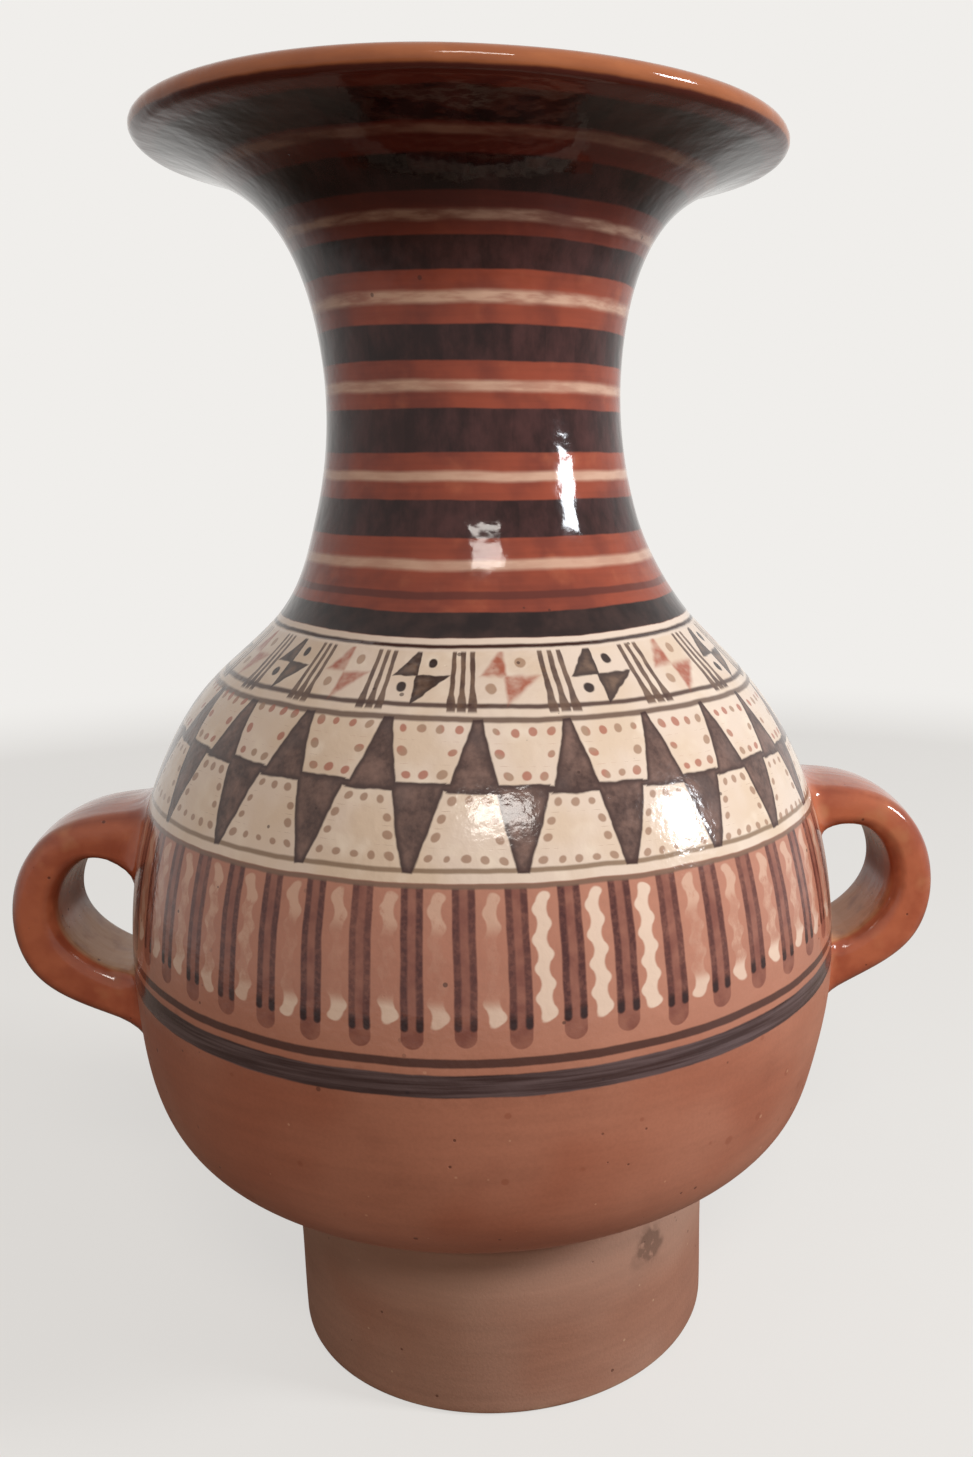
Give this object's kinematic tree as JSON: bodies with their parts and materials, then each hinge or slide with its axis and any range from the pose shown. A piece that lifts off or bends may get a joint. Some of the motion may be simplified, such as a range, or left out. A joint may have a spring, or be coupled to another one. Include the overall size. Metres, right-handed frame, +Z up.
{
  "type": "aryballos jar",
  "caption": "Clay jar with a round belly, tall flared neck and mouth, two strap loop handles on the sides, painted geometric bands and a hollow ring foot.",
  "frame": {"origin": "centre of the foot's resting ring, on the plane it stands on", "axes": "+Z up along the jar's axis, handles along X, front towards -Y"},
  "size_m": [0.2615, 0.2004, 0.329],
  "materials": {
    "bare_clay": "matte fired clay, pale tan, with fine specks and smudges",
    "belly_glaze": "thin satin glaze over terracotta, one dark brown band",
    "painted_glaze": "clear gloss glaze over cream, brown and terracotta brushwork",
    "neck_glaze": "clear gloss glaze over red-brown with black and white bands",
    "handle_glaze": "gloss glaze over orange-brown clay"
  },
  "bodies": {
    "root": {"foot_ring": "bare_clay", "lower_bowl": "belly_glaze", "shoulder": "painted_glaze", "neck": "neck_glaze", "left_handle": "handle_glaze", "right_handle": "handle_glaze"}
  },
  "joints": []
}
